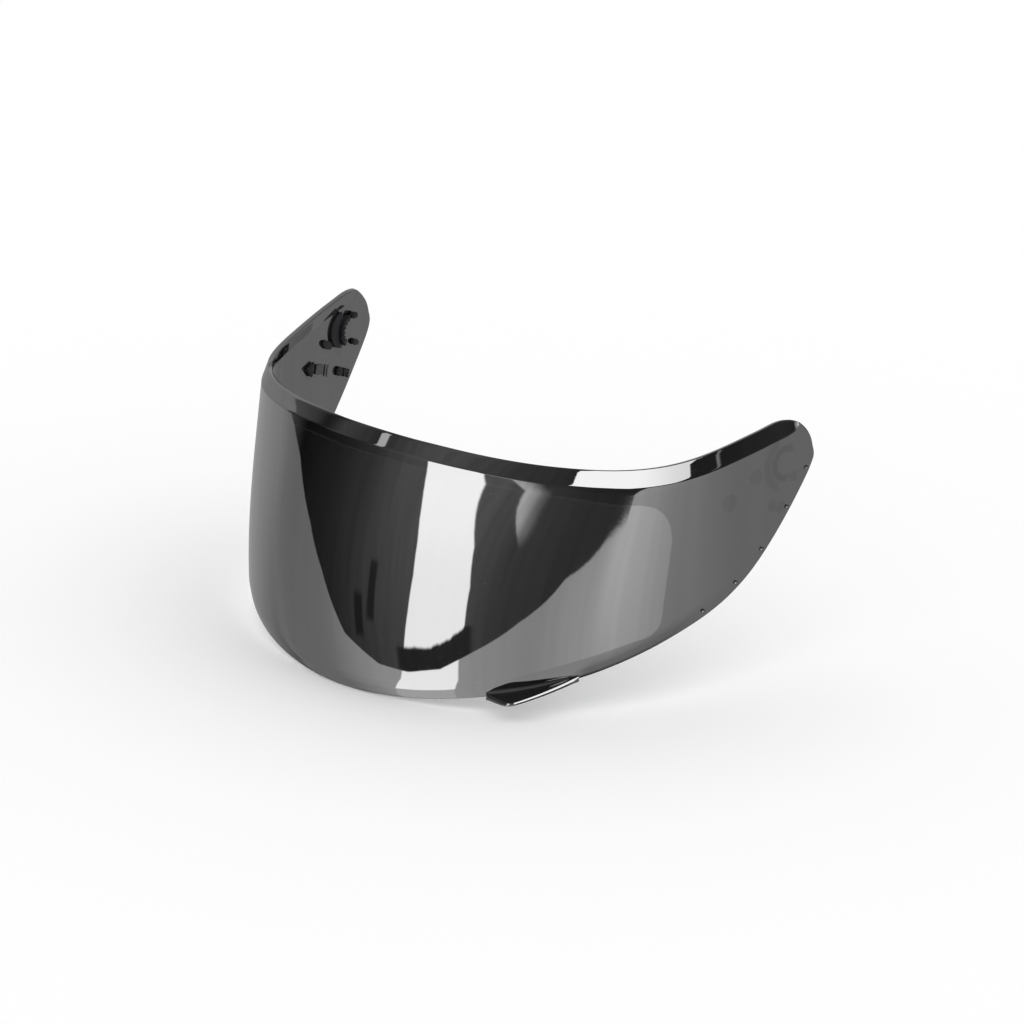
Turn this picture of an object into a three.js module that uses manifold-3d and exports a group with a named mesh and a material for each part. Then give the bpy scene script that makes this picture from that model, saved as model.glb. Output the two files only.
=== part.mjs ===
// A tinted motorcycle helmet visor with its anti-fog insert and the moulded fittings of both arms.
// Millimetres, +Z up, the front faces -Y and +X is the wearer's left. The origin is the middle of
// the bottom of the visor's box. A place on the curved sheet is given by s, the arc length along
// the sheet from the middle of the front (negative on the wearer's right), by its height z, and
// by its offset from the outer face, which is negative towards the wearer.
import * as THREE from "three";
import { mergeVertices } from "three/addons/utils/BufferGeometryUtils.js";
import Module from "manifold-3d";

const wasm = await Module();
wasm.setup();

// The sheet: its plan is an arc that straightens along the arms, and its front bows in height
const sheetThickness = 2.2;
const frontRadius = 112.5;
const armRadius = 455;
const bendStart = 100;
const bendEnd = 200;
const bowRadius = 175;
const bellyHeight = 23.5;
const bowStart = 23;
const bowEnd = 166;

// The outline of one half with its lip laid flat: shares of the arm's reach and of the front's
// height, from the middle of the top, round the tip and back along the bottom edge
const armReach = 220;
const frontHeight = 101;
const outlineShares = [
  [0, 1.076],
  [0.143, 1.067],
  [0.294, 1.046],
  [0.429, 1.026],
  [0.6, 1.002],
  [0.716, 1.009],
  [0.854, 1.049],
  [0.92, 1.066],
  [0.963, 1.034],
  [0.995, 0.936],
  [0.984, 0.8],
  [0.832, 0.44],
  [0.644, 0.2535],
  [0.344, 0.082],
  [0, 0],
];

// The lip folded inwards along the top, and the bevel along the bottom edge
const lipWidth = 7.7;
const lipEndWidth = 0.5;
const lipEndSetback = 9.5;
const lipEndLength = 12;
const lipLean = 16;
const foldRadius = 3.5;
const bevelHeight = 5;
const bevelDepth = 0.8;

// The shallow recess inside the front, and the anti-fog insert that lies in it on a soft bead
const recessDepth = 0.45;
const recessSetback = 76;
const recessReach = armReach - recessSetback;
const recessTop = 97.9;
const recessTopShares = [
  [0.237, 0.991],
  [0.435, 0.968],
  [0.706, 0.927],
  [0.861, 0.886],
];
const recessBottom = 7.8;
const recessBottomShares = [
  [0.9, 0.2114],
  [0.692, 0.144],
  [0.492, 0.0715],
  [0.25, 0.018],
];
const recessUpperCornerShare = 0.7;
const recessLowerCornerShare = 0.41;
const recessLowerReachShare = 0.974;
const insertClearance = 1.2;
const insertThickness = 1.1;
const sealInset = 2.4;
const sealWidth = 1.8;
const sealThickness = 0.9;
const sealPinGap = 0.6;

// The eccentric pins that hold the insert: each turns on the stub of a seat in the recess
const pinSetback = 5.6;
const pinHeight = 55;
const seatRadius = 3.1;
const seatThickness = 0.8;
const stubRadius = 0.9;
const stubLength = 3.1;
const pinRunningGap = 0.1;
const pinEccentricity = 0.5;
const pinCollarRadius = 1.95;
const pinHeadRadius = 3.7;
const pinHeadThickness = 1.3;
const pinSlotWidth = 0.7;
const pinSlotDepth = 0.5;
const pinSlotLength = 4.6;
const notchClearance = 0.3;

// The pivot of each arm, with the toothed rack round it
const pivotSetback = 17.4;
const rackInnerRadius = 4.9;
const rackOuterRadius = 7.6;
const rackThickness = 2.4;
const rackToothDepth = 1;
const rackToothCount = 6;
const rackFlankShare = 0.33;
const rackStart = 102;
const rackEnd = 228;

// The other fittings of an arm: the place of each ahead of the pivot and above it, its length,
// width and thickness, and its turn
const catchAhead = -2.6;
const catchAbove = 6;
const catchLength = 4.2;
const catchWidth = 2.8;
const catchThickness = 2.4;
const catchTurn = -12;

const guideAhead = 10;
const guideAbove = 3;
const guideGap = 0.5;
const guideTopWidth = 3.2;
const guideFootWidth = 0.6;
const guideBelly = 3.6;
const guideThickness = 1;
const guideStart = 120;
const guideEnd = 228;

const lowerLugAhead = -4.6;
const lowerLugAbove = -6.9;
const lowerLugLength = 5;
const lowerLugWidth = 2.8;
const lowerLugThickness = 1.4;
const lowerLugTurn = -24;

const stopPadAhead = 16.6;
const stopPadAbove = -2.1;
const stopPadLength = 8.8;
const stopPadWidth = 3.8;
const stopPadThickness = 1;
const stopPadTurn = -30;

const frontLugAhead = 30.6;
const frontLugAbove = -8.9;
const frontLugRadius = 4.2;
const frontLugRound = 1.2;
const frontLugThickness = 1.2;
const frontLugTurn = 72;

const wearPadAhead = 22.4;
const wearPadAbove = -11.5;
const wearPadLength = 6;
const wearPadWidth = 4.4;
const wearPadThickness = 0.5;
const wearPadTurn = -17;

const arcRibAhead = 16.3;
const arcRibAbove = -13.9;
const arcRibLength = 6;
const arcRibWidth = 1.1;
const arcRibThickness = 0.8;
const arcRibTurn = 76;

const hookBossAhead = 7.2;
const hookBossAbove = -16.9;
const hookBossRadius = 2.2;
const hookBossThickness = 1.2;

const hookAhead = 2.8;
const hookAbove = -18.4;
const hookLength = 4;
const hookWidth = 2.8;
const hookThickness = 1.4;
const hookBarb = 1.2;
const hookTurn = -18;

const fittingRound = 0.5;

// The pips along the rear edge of each arm
const pipCount = 5;
const pipSpacing = 19;
const pipFirst = 6.6;
const pipEdgeMargin = 3;
const pipRadius = 0.95;
const pipProudness = 0.7;
const pipTopRadius = 0.5;

// The lift tab at the bottom edge on the wearer's left
const tabStart = 66.5;
const tabCorner = 75.7;
const tabEnd = 104;
const tabReach = 9.6;
const tabCornerRound = 3.6;
const tabEdge = 0.6;
const tabThickness = 3;
const tabDrop = 1;

// Gaps and the fineness of the facets
const seatGap = 0.3;
const overrun = 2;
const planSamples = 600;
const planMarginShare = 0.05;
const outlineSamplesPerSpan = 24;
const sheetColumns = 34;
const sheetRows = 6;
const recessColumns = 22;
const recessRows = 5;
const tabColumns = 16;
const guideSteps = 6;
const endShare = 0.9985;
const lipShares = [0.08, 0.16, 1];
const bevelHeightLimitShare = 0.2;
const roundSegments = 24;
const cornerSegments = 4;
const pipSegments = 8;

const radians = THREE.MathUtils.degToRad;
const { lerp, smoothstep, smootherstep, clamp } = THREE.MathUtils;

// The plan curve of the sheet: an arc at the front that straightens along the arms
const planStep = (armReach * (1 + planMarginShare)) / planSamples;
const plan = [{ x: 0, y: 0, heading: 0 }];

function curvature(s) {
  const straightness = smoothstep(s, bendStart, bendEnd);
  return (1 - straightness) / frontRadius + straightness / armRadius;
}

for (let i = 1; i <= planSamples; i += 1) {
  const last = plan[i - 1];
  const turn = curvature((i - 0.5) * planStep) * planStep;
  const middle = last.heading + turn / 2;
  plan.push({
    x: last.x + Math.cos(middle) * planStep,
    y: last.y + Math.sin(middle) * planStep,
    heading: last.heading + turn,
  });
}

// The frame of the sheet at a place: its point on the outer face, the directions along the sheet
// towards +s, up the sheet and outwards
function sheetFrame(s, z) {
  const side = s < 0 ? -1 : 1;
  const place = Math.min(Math.abs(s) / planStep, planSamples - 1);
  const i = Math.floor(place);
  const x = side * lerp(plan[i].x, plan[i + 1].x, place - i);
  const y = lerp(plan[i].y, plan[i + 1].y, place - i);
  const heading = lerp(plan[i].heading, plan[i + 1].heading, place - i);
  const bow = 1 - smootherstep(Math.abs(s), bowStart, bowEnd);
  const rise = z - bellyHeight;
  const slope = (bow * rise) / bowRadius;
  const level = new THREE.Vector3(side * Math.sin(heading), -Math.cos(heading), 0);
  const point = new THREE.Vector3(x, y, z).addScaledVector(level, (-slope * rise) / 2);
  const outward = level.clone().setZ(slope).normalize();
  const up = level.clone().multiplyScalar(-slope).setZ(1).normalize();
  const along = up.clone().cross(outward);
  return { point, along, up, outward };
}

function sheetPoint(s, z, offset) {
  const { point, outward } = sheetFrame(s, z);
  return point.addScaledVector(outward, offset);
}

// The frame as a matrix, moved by an offset: +X along the sheet, +Y up it and +Z outwards
function sheetMatrix(s, z, offset) {
  const { along, up, outward } = sheetFrame(s, z);
  return new THREE.Matrix4().makeBasis(along, up, outward).setPosition(sheetPoint(s, z, offset));
}

// A point of the lip, a distance beyond the crease, measured over the fold
function lipPoint(s, crease, beyond, offset) {
  const { point, up, outward } = sheetFrame(s, crease);
  const angle = Math.min(beyond / foldRadius, radians(lipLean));
  const straight = beyond - angle * foldRadius;
  const rise = foldRadius * Math.sin(angle) + straight * Math.cos(angle) + offset * Math.sin(angle);
  const inset = foldRadius * (1 - Math.cos(angle)) + straight * Math.sin(angle) - offset * Math.cos(angle);
  return point.addScaledVector(up, rise).addScaledVector(outward, -inset);
}

// Half an outline, from the middle of its top round its end to the middle of its bottom, as an
// upper and a lower line over the arc length
function halfOutline(points) {
  const end = points.reduce((best, point, i) => (point.x > points[best].x ? i : best), 0);
  return {
    reach: points[end].x,
    tip: points[end].y,
    top: points.slice(0, end + 1),
    bottom: points.slice(end).reverse(),
  };
}

function lineAt(line, s) {
  const reach = clamp(Math.abs(s), 0, line[line.length - 1].x);
  const next = Math.max(1, line.findIndex((point) => point.x >= reach));
  const before = line[next - 1];
  const after = line[next];
  return lerp(before.y, after.y, (reach - before.x) / (after.x - before.x));
}

// The sheet's outline: its spline starts and ends level, as if the other half went on
function sheetPoints() {
  const half = outlineShares.map(([along, up]) => new THREE.Vector2(along * armReach, up * frontHeight));
  const mirrored = (point) => new THREE.Vector2(-point.x, point.y);
  const through = [mirrored(half[1]), ...half, mirrored(half[half.length - 2])];
  const samples = outlineSamplesPerSpan * (through.length - 1);
  const points = new THREE.SplineCurve(through).getPoints(samples);
  return points.slice(outlineSamplesPerSpan, -outlineSamplesPerSpan);
}

const sheetOutline = halfOutline(sheetPoints());

// The outline of the recess, or of what lies in it when it is drawn in by an inset, which may be
// larger at both ends
function recessOutline(inset, endInset = inset) {
  const reach = recessReach - endInset;
  const lowerReach = reach * recessLowerReachShare;
  const at = (along, up) => new THREE.Vector2(along * reach, up);
  const top = recessTopShares.map(([along, up]) => at(along, up * recessTop - inset));
  const foot = recessBottomShares.map(([along, up]) => at(along, recessBottom + up * recessTop + inset));
  const upperY = top[top.length - 1].y;
  const path = new THREE.Path();
  path.moveTo(0, recessTop - inset);
  path.splineThru(top);
  path.quadraticCurveTo(reach, upperY, reach, recessUpperCornerShare * recessTop);
  path.lineTo(lowerReach, recessLowerCornerShare * recessTop);
  path.quadraticCurveTo(lowerReach, foot[0].y, foot[0].x, foot[0].y);
  path.splineThru([...foot.slice(1), new THREE.Vector2(0, recessBottom + inset)]);
  return path.getPoints(cornerSegments);
}

// Working with closed bodies
function positionsOnly(geometry) {
  const bare = new THREE.BufferGeometry();
  bare.setAttribute("position", geometry.getAttribute("position").clone());
  bare.setIndex(geometry.getIndex());
  return mergeVertices(bare);
}

function toSolid(geometry) {
  const bare = positionsOnly(geometry);
  return new wasm.Manifold(
    new wasm.Mesh({
      numProp: 3,
      vertProperties: new Float32Array(bare.getAttribute("position").array),
      triVerts: new Uint32Array(bare.getIndex().array),
    }),
  );
}

function toGeometry(solid) {
  const { vertProperties, triVerts } = solid.getMesh();
  const geometry = new THREE.BufferGeometry();
  geometry.setAttribute("position", new THREE.BufferAttribute(vertProperties, 3));
  geometry.setIndex(new THREE.BufferAttribute(triVerts, 1));
  return geometry;
}

// A body through rings of points that all have the same count: a loop, or closed by a strip over
// each end
function loft(rings, loop = false) {
  const count = rings[0].length;
  const positions = rings.flat().flatMap((point) => point.toArray());
  const index = [];
  const at = (ring, i) => (ring % rings.length) * count + (i % count);
  const spans = loop ? rings.length : rings.length - 1;
  for (let ring = 0; ring < spans; ring += 1) {
    for (let i = 0; i < count; i += 1) {
      index.push(at(ring, i), at(ring + 1, i), at(ring + 1, i + 1));
      index.push(at(ring, i), at(ring + 1, i + 1), at(ring, i + 1));
    }
  }
  const last = rings.length - 1;
  for (let i = 0; !loop && i < count / 2 - 1; i += 1) {
    const back = count - 1 - i;
    index.push(at(0, i), at(0, i + 1), at(0, back));
    index.push(at(0, i + 1), at(0, back - 1), at(0, back));
    index.push(at(last, i), at(last, back), at(last, i + 1));
    index.push(at(last, i + 1), at(last, back), at(last, back - 1));
  }
  const geometry = new THREE.BufferGeometry();
  geometry.setAttribute("position", new THREE.Float32BufferAttribute(positions, 3));
  geometry.setIndex(index);
  return geometry;
}

// The arc lengths of the columns of a panel, closer together towards its ends
function columnPlaces(reach, columns) {
  const places = [];
  for (let column = -columns; column <= columns; column += 1) {
    const even = column / columns;
    const share = lerp(even, Math.sin((Math.PI / 2) * even), even * even);
    places.push(share * reach * endShare);
  }
  return places;
}

// A panel of an outline, between two offsets from the outer face
function panelGeometry({ reach, top, bottom }, outer, inner) {
  const rings = columnPlaces(reach, recessColumns).map((s) => {
    const face = (offset) => {
      const points = [];
      for (let row = 0; row <= recessRows; row += 1) {
        const z = lerp(lineAt(bottom, s), lineAt(top, s), row / recessRows);
        points.push(sheetPoint(s, z, offset));
      }
      return points;
    };
    return [...face(outer), ...face(inner).reverse()];
  });
  return loft(rings);
}

// The lip's width, which ends in a quarter of an ellipse before the tip of the arm
function lipWidthAt(s) {
  const fromEnd = sheetOutline.reach - Math.abs(s) - lipEndSetback;
  const left = 1 - clamp(fromEnd / lipEndLength, 0, 1);
  return lerp(lipEndWidth, lipWidth, Math.sqrt(1 - left * left));
}

// The sheet with its lip and bevel, a ring of points for each step along it
function sheetRing(s) {
  const crease = lineAt(sheetOutline.top, s) - lipWidthAt(s);
  const bottom = lineAt(sheetOutline.bottom, s);
  const bevel = Math.min(bevelHeight, (crease - bottom) * bevelHeightLimitShare);
  const face = (offset, edgeOffset) => {
    const points = [sheetPoint(s, bottom, edgeOffset)];
    for (let row = 0; row <= sheetRows; row += 1) {
      points.push(sheetPoint(s, lerp(bottom + bevel, crease, row / sheetRows), offset));
    }
    for (const share of lipShares) {
      points.push(lipPoint(s, crease, lipWidthAt(s) * share, offset));
    }
    return points;
  };
  const outer = face(0, -bevelDepth);
  const inner = face(-sheetThickness, -sheetThickness).reverse();
  return [...outer, ...inner];
}

function sheetSolid() {
  const places = columnPlaces(sheetOutline.reach, sheetColumns);
  return toSolid(loft(places.map(sheetRing)));
}

// The offsets of the arm's fittings, and of the layers inside the recess towards the wearer
const fittingBase = -(sheetThickness + seatGap);
const recessFloor = -(sheetThickness - recessDepth);
const sealOuter = recessFloor - seatGap;
const sealInner = sealOuter - sealThickness;
const insertOuter = sealInner - seatGap;
const insertInner = insertOuter - insertThickness;

// The bead: a square section that runs round the insert, inside its edge and inside both pins
function sealGeometry() {
  const inset = insertClearance + sealInset;
  const endInset = pinSetback + seatRadius + sealPinGap;
  const outside = recessOutline(inset, endInset);
  const inside = recessOutline(inset + sealWidth, endInset + sealWidth);
  const ring = (side, i) => [
    sheetPoint(side * outside[i].x, outside[i].y, sealOuter),
    sheetPoint(side * outside[i].x, outside[i].y, sealInner),
    sheetPoint(side * inside[i].x, inside[i].y, sealInner),
    sheetPoint(side * inside[i].x, inside[i].y, sealOuter),
  ];
  const rings = outside.map((point, i) => ring(1, i));
  for (let i = outside.length - 2; i > 0; i -= 1) {
    rings.push(ring(-1, i));
  }
  return loft(rings, true);
}

// The lift tab: a triangular blade with a round corner, whose root follows the sheet
function tabGeometry() {
  const start = new THREE.Vector2(tabStart, tabEdge);
  const corner = new THREE.Vector2(tabCorner, tabReach);
  const end = new THREE.Vector2(tabEnd, tabEdge);
  const cut = (toward) => corner.clone().add(toward.clone().sub(corner).setLength(tabCornerRound));
  const path = new THREE.Path();
  path.moveTo(start.x, start.y);
  path.lineTo(cut(start).x, cut(start).y);
  path.quadraticCurveTo(corner.x, corner.y, cut(end).x, cut(end).y);
  path.lineTo(end.x, end.y);
  const edge = path.getPoints(cornerSegments);
  const rings = [];
  for (let step = 0; step <= tabColumns; step += 1) {
    const s = lerp(tabStart, tabEnd, step / tabColumns);
    const low = lineAt(sheetOutline.bottom, s) - tabDrop;
    const reach = seatGap + lineAt(edge, s);
    rings.push([
      sheetPoint(s, low, seatGap),
      sheetPoint(s, low, reach),
      sheetPoint(s, low + tabThickness, reach),
      sheetPoint(s, low + tabThickness, seatGap),
    ]);
  }
  return loft(rings);
}

// Shapes of the arm's fittings, along +s and up, round their own middle
function slotShape(length, width) {
  const half = (length - width) / 2;
  const shape = new THREE.Shape();
  shape.absarc(half, 0, width / 2, -Math.PI / 2, Math.PI / 2);
  shape.absarc(-half, 0, width / 2, Math.PI / 2, (Math.PI * 3) / 2);
  shape.closePath();
  return shape;
}

function ovalShape(length, width) {
  const shape = new THREE.Shape();
  shape.absellipse(0, 0, length / 2, width / 2, 0, Math.PI * 2);
  return shape;
}

// A polygon whose corners are rounded, from its corners in order
function roundedShape(corners, round) {
  const shape = new THREE.Shape();
  corners.forEach((corner, i) => {
    const before = corners[(i + corners.length - 1) % corners.length];
    const after = corners[(i + 1) % corners.length];
    const from = corner.clone().add(before.clone().sub(corner).setLength(round));
    const to = corner.clone().add(after.clone().sub(corner).setLength(round));
    if (i === 0) {
      shape.moveTo(from.x, from.y);
    } else {
      shape.lineTo(from.x, from.y);
    }
    shape.quadraticCurveTo(corner.x, corner.y, to.x, to.y);
  });
  shape.closePath();
  return shape;
}

function boxShape(length, width, round) {
  const corners = [
    new THREE.Vector2(-length / 2, -width / 2),
    new THREE.Vector2(length / 2, -width / 2),
    new THREE.Vector2(length / 2, width / 2),
    new THREE.Vector2(-length / 2, width / 2),
  ];
  return roundedShape(corners, round);
}

function triangleShape(radius, round) {
  const top = new THREE.Vector2(0, radius);
  const third = (Math.PI * 2) / 3;
  const corners = [0, third, -third].map((angle) => top.clone().rotateAround(new THREE.Vector2(), angle));
  return roundedShape(corners, round);
}

// The hook: a short bar whose far end turns down to a barb
function hookShape() {
  const corners = [
    new THREE.Vector2(-hookLength / 2, -hookWidth / 2),
    new THREE.Vector2(hookLength / 2 - hookBarb, -hookWidth / 2),
    new THREE.Vector2(hookLength / 2, -hookWidth / 2 - hookBarb),
    new THREE.Vector2(hookLength / 2, hookWidth / 2),
    new THREE.Vector2(-hookLength / 2, hookWidth / 2),
  ];
  return roundedShape(corners, fittingRound);
}

const polar = (radius, degrees) =>
  new THREE.Vector2(radius * Math.cos(radians(degrees)), radius * Math.sin(radians(degrees)));

// The rack: an arc round the pivot with teeth on its hollow side
function rackShape() {
  const shape = new THREE.Shape();
  shape.absarc(0, 0, rackOuterRadius, radians(rackStart), radians(rackEnd));
  const pitch = (rackStart - rackEnd) / rackToothCount;
  const root = rackInnerRadius + rackToothDepth;
  for (let tooth = 0; tooth < rackToothCount; tooth += 1) {
    const from = rackEnd + tooth * pitch;
    const flanks = [
      polar(root, from),
      polar(rackInnerRadius, from + pitch * rackFlankShare),
      polar(rackInnerRadius, from + pitch * (1 - rackFlankShare)),
      polar(root, from + pitch),
    ];
    flanks.forEach((point) => shape.lineTo(point.x, point.y));
  }
  shape.closePath();
  return shape;
}

// The guide: a crescent that hugs the rack, blunt at the top and thin at the foot, drawn round its
// own middle
function guideShape() {
  const shape = new THREE.Shape();
  const pivot = new THREE.Vector2(guideAhead, -guideAbove);
  const inner = rackOuterRadius + guideGap;
  shape.absarc(pivot.x, pivot.y, inner, radians(guideStart), radians(guideEnd));
  const outer = [];
  for (let step = 0; step <= guideSteps; step += 1) {
    const share = step / guideSteps;
    const belly = guideBelly * Math.sin(Math.PI * share);
    const width = lerp(guideFootWidth, guideTopWidth, share) + belly;
    outer.push(polar(inner + width, lerp(guideEnd, guideStart, share)).add(pivot));
  }
  shape.lineTo(outer[0].x, outer[0].y);
  shape.splineThru(outer.slice(1));
  shape.closePath();
  return shape;
}

// An arc-shaped rib, from its chord and its width
function arcRibShape() {
  const shape = new THREE.Shape();
  const reach = arcRibLength / 2;
  shape.moveTo(-reach, 0);
  shape.quadraticCurveTo(0, arcRibWidth * 2, reach, 0);
  shape.quadraticCurveTo(0, arcRibWidth / 2, -reach, 0);
  return shape;
}

// The shape for one side: mirrored on the wearer's right, and turned
function sided(shape, side, turn) {
  const angle = radians(turn);
  const points = shape.getPoints(cornerSegments).map((point) => {
    const turned = point.clone().rotateAround(new THREE.Vector2(), angle);
    return new THREE.Vector2(side * turned.x, turned.y);
  });
  return new THREE.Shape(points);
}

// A fitting's body: its outline, extruded from the arm towards the wearer
function fittingGeometry(side, shape, thickness, turn) {
  const geometry = new THREE.ExtrudeGeometry(sided(shape, side, turn), {
    depth: thickness,
    bevelEnabled: false,
  });
  return geometry.translate(0, 0, -thickness);
}

// Cylinders along a body's own Z, from one height to another
function disc(radius, from, to, x) {
  const geometry = new THREE.CylinderGeometry(radius, radius, Math.abs(to - from), roundSegments);
  geometry.rotateX(Math.PI / 2);
  geometry.translate(x, 0, (from + to) / 2);
  return toSolid(geometry);
}

// The U-shaped notch in an end of the insert, round the pin
const pinReach = recessReach - pinSetback;

function notchSolid(side) {
  const radius = pinCollarRadius + pinEccentricity + notchClearance;
  const mouth = pinSetback + overrun;
  const depth = sheetThickness + insertThickness + overrun;
  const slot = new THREE.BoxGeometry(mouth, radius * 2, depth * 2);
  slot.translate((side * mouth) / 2, 0, 0);
  const solid = disc(radius, -depth, depth, 0).add(toSolid(slot));
  return solid.transform(sheetMatrix(side * pinReach, pinHeight, insertOuter).toArray());
}

// A seat of a pin: a round foot in the recess with the stub that the pin turns on
const seatInner = -seatThickness;

function seatGeometry() {
  const foot = disc(seatRadius, seatInner, 0, 0);
  const stub = disc(stubRadius, seatInner - stubLength, 0, 0);
  return toGeometry(foot.add(stub));
}

// A pin: an eccentric collar under a flat head, bored for the stub and slotted for a coin
const collarOuter = seatInner - seatGap / 2;
const collarInner = insertInner - sealOuter - seatGap;
const headInner = collarInner - pinHeadThickness;

function pinGeometry() {
  const collar = disc(pinCollarRadius, collarInner, collarOuter, pinEccentricity);
  const head = disc(pinHeadRadius, headInner, collarInner, 0);
  const boreEnd = seatInner - stubLength - pinRunningGap;
  const bore = disc(stubRadius + pinRunningGap, boreEnd, collarOuter + overrun, 0);
  const slotBar = new THREE.BoxGeometry(pinSlotLength, pinSlotWidth, pinSlotDepth * 2);
  slotBar.translate(0, 0, headInner);
  return toGeometry(collar.add(head).subtract(bore).subtract(toSolid(slotBar)));
}

// A pip: a low cone with a flat top on the outer face
function pipGeometry() {
  const profile = [
    new THREE.Vector2(0, 0),
    new THREE.Vector2(pipRadius, 0),
    new THREE.Vector2(pipTopRadius, pipProudness),
    new THREE.Vector2(0, pipProudness),
  ];
  return new THREE.LatheGeometry(profile, pipSegments).rotateX(Math.PI / 2);
}

// The places of the pips, a margin inside the rear edge and evenly spaced along it from the tip
function pipPlaces() {
  const edge = sheetOutline.bottom.slice().reverse();
  const places = [];
  let walked = 0;
  for (let i = 1; i < edge.length && places.length < pipCount; i += 1) {
    const step = edge[i].clone().sub(edge[i - 1]);
    walked += step.length();
    if (walked >= pipFirst + places.length * pipSpacing) {
      const inwards = new THREE.Vector2(step.y, -step.x).setLength(pipEdgeMargin);
      places.push(edge[i].clone().add(inwards));
    }
  }
  return places;
}

// Materials
const smokePlastic = new THREE.MeshStandardMaterial({
  color: 0x35363a,
  roughness: 0.06,
  metalness: 0,
});
const blackPlastic = new THREE.MeshStandardMaterial({ color: 0x101012, roughness: 0.3, metalness: 0 });
const greyPlastic = new THREE.MeshStandardMaterial({ color: 0x3c3d40, roughness: 0.35, metalness: 0 });
const clearPlastic = new THREE.MeshStandardMaterial({ color: 0xb9bec2, roughness: 0.05, metalness: 0 });
const softSilicone = new THREE.MeshStandardMaterial({ color: 0x8f949a, roughness: 0.6, metalness: 0 });

const visor = new THREE.Group();

function seatOnSheet(s, z, offset) {
  const holder = new THREE.Group();
  holder.applyMatrix4(sheetMatrix(s, z, offset));
  visor.add(holder);
  return holder;
}

function addPiece(name, geometry, material, holder = visor) {
  const body = positionsOnly(geometry);
  body.computeVertexNormals();
  const mesh = new THREE.Mesh(body, material);
  mesh.name = name;
  holder.add(mesh);
  return mesh;
}

// The sheet, its recess and its lift tab
const recess = halfOutline(recessOutline(0));
const recessCutter = toSolid(panelGeometry(recess, recessFloor, -sheetThickness - overrun));
const shell = addPiece("visor_shell", toGeometry(sheetSolid().subtract(recessCutter)), smokePlastic);
addPiece("lift_tab", tabGeometry(), smokePlastic);

// The anti-fog insert, notched at both ends for the pins, and its bead
const insertPanel = panelGeometry(halfOutline(recessOutline(insertClearance)), insertOuter, insertInner);
const insert = [1, -1].reduce((solid, side) => solid.subtract(notchSolid(side)), toSolid(insertPanel));
addPiece("antifog_insert", toGeometry(insert), clearPlastic);
addPiece("insert_seal", sealGeometry(), softSilicone);

// The pivot's place, from the end of the arm
const pivotReach = sheetOutline.reach - pivotSetback;
const pivotHeight = sheetOutline.tip;

// The fittings, pins and pips of both arms
for (const [name, side] of [["left", 1], ["right", -1]]) {
  const fit = (piece, ahead, above, shape, thickness, turn, material) => {
    const holder = seatOnSheet(side * (pivotReach - ahead), pivotHeight + above, fittingBase);
    addPiece(`${piece}_${name}`, fittingGeometry(side, shape, thickness, turn), material, holder);
  };
  const lug = ovalShape(lowerLugLength, lowerLugWidth);
  const pad = ovalShape(stopPadLength, stopPadWidth);
  const frontLug = triangleShape(frontLugRadius, frontLugRound);
  const wearPad = boxShape(wearPadLength, wearPadWidth, fittingRound);
  const boss = ovalShape(hookBossRadius * 2, hookBossRadius * 2);
  const catchShape = slotShape(catchLength, catchWidth);
  fit("toothed_rack", 0, 0, rackShape(), rackThickness, 0, blackPlastic);
  fit("upper_catch", catchAhead, catchAbove, catchShape, catchThickness, catchTurn, blackPlastic);
  fit("guide_pad", guideAhead, guideAbove, guideShape(), guideThickness, 0, greyPlastic);
  fit("lower_lug", lowerLugAhead, lowerLugAbove, lug, lowerLugThickness, lowerLugTurn, greyPlastic);
  fit("stop_pad", stopPadAhead, stopPadAbove, pad, stopPadThickness, stopPadTurn, greyPlastic);
  fit("front_lug", frontLugAhead, frontLugAbove, frontLug, frontLugThickness, frontLugTurn, blackPlastic);
  fit("wear_pad", wearPadAhead, wearPadAbove, wearPad, wearPadThickness, wearPadTurn, greyPlastic);
  fit("arc_rib", arcRibAhead, arcRibAbove, arcRibShape(), arcRibThickness, arcRibTurn, greyPlastic);
  fit("hook_boss", hookBossAhead, hookBossAbove, boss, hookBossThickness, 0, greyPlastic);
  fit("rear_hook", hookAhead, hookAbove, hookShape(), hookThickness, hookTurn, blackPlastic);

  const pinHolder = seatOnSheet(side * pinReach, pinHeight, sealOuter);
  addPiece(`pin_seat_${name}`, seatGeometry(), blackPlastic, pinHolder);
  addPiece(`insert_pin_${name}`, pinGeometry(), blackPlastic, pinHolder);

  pipPlaces().forEach((place, i) => {
    const holder = seatOnSheet(side * place.x, place.y, seatGap);
    addPiece(`edge_pip_${name}_${i + 1}`, pipGeometry(), smokePlastic, holder);
  });
}

// The origin goes to the middle of the bottom of the sheet's box
const box = new THREE.Box3().setFromObject(shell);
visor.position.set(0, -(box.min.y + box.max.y) / 2, -box.min.z);

export default visor;
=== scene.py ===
import math

import bmesh
import bpy
import numpy as np
from mathutils import Matrix


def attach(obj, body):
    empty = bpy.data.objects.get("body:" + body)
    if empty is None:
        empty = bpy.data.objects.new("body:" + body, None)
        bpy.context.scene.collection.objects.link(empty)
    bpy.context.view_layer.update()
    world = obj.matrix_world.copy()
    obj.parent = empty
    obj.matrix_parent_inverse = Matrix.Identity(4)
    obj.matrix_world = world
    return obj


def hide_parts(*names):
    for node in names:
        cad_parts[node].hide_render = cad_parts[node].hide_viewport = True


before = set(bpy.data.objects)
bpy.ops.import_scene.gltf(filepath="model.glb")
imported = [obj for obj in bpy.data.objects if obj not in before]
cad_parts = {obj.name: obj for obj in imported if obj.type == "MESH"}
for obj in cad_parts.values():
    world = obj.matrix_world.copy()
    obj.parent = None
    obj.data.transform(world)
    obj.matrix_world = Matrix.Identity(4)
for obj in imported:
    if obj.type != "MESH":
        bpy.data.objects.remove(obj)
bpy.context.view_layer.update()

# The camera stands in front of the wearer's left eye, above the visor, with a very long lens, as
# the photograph was taken.
CAMERA_PLACE = (1.554574, -1.818285, 0.996553)
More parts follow.
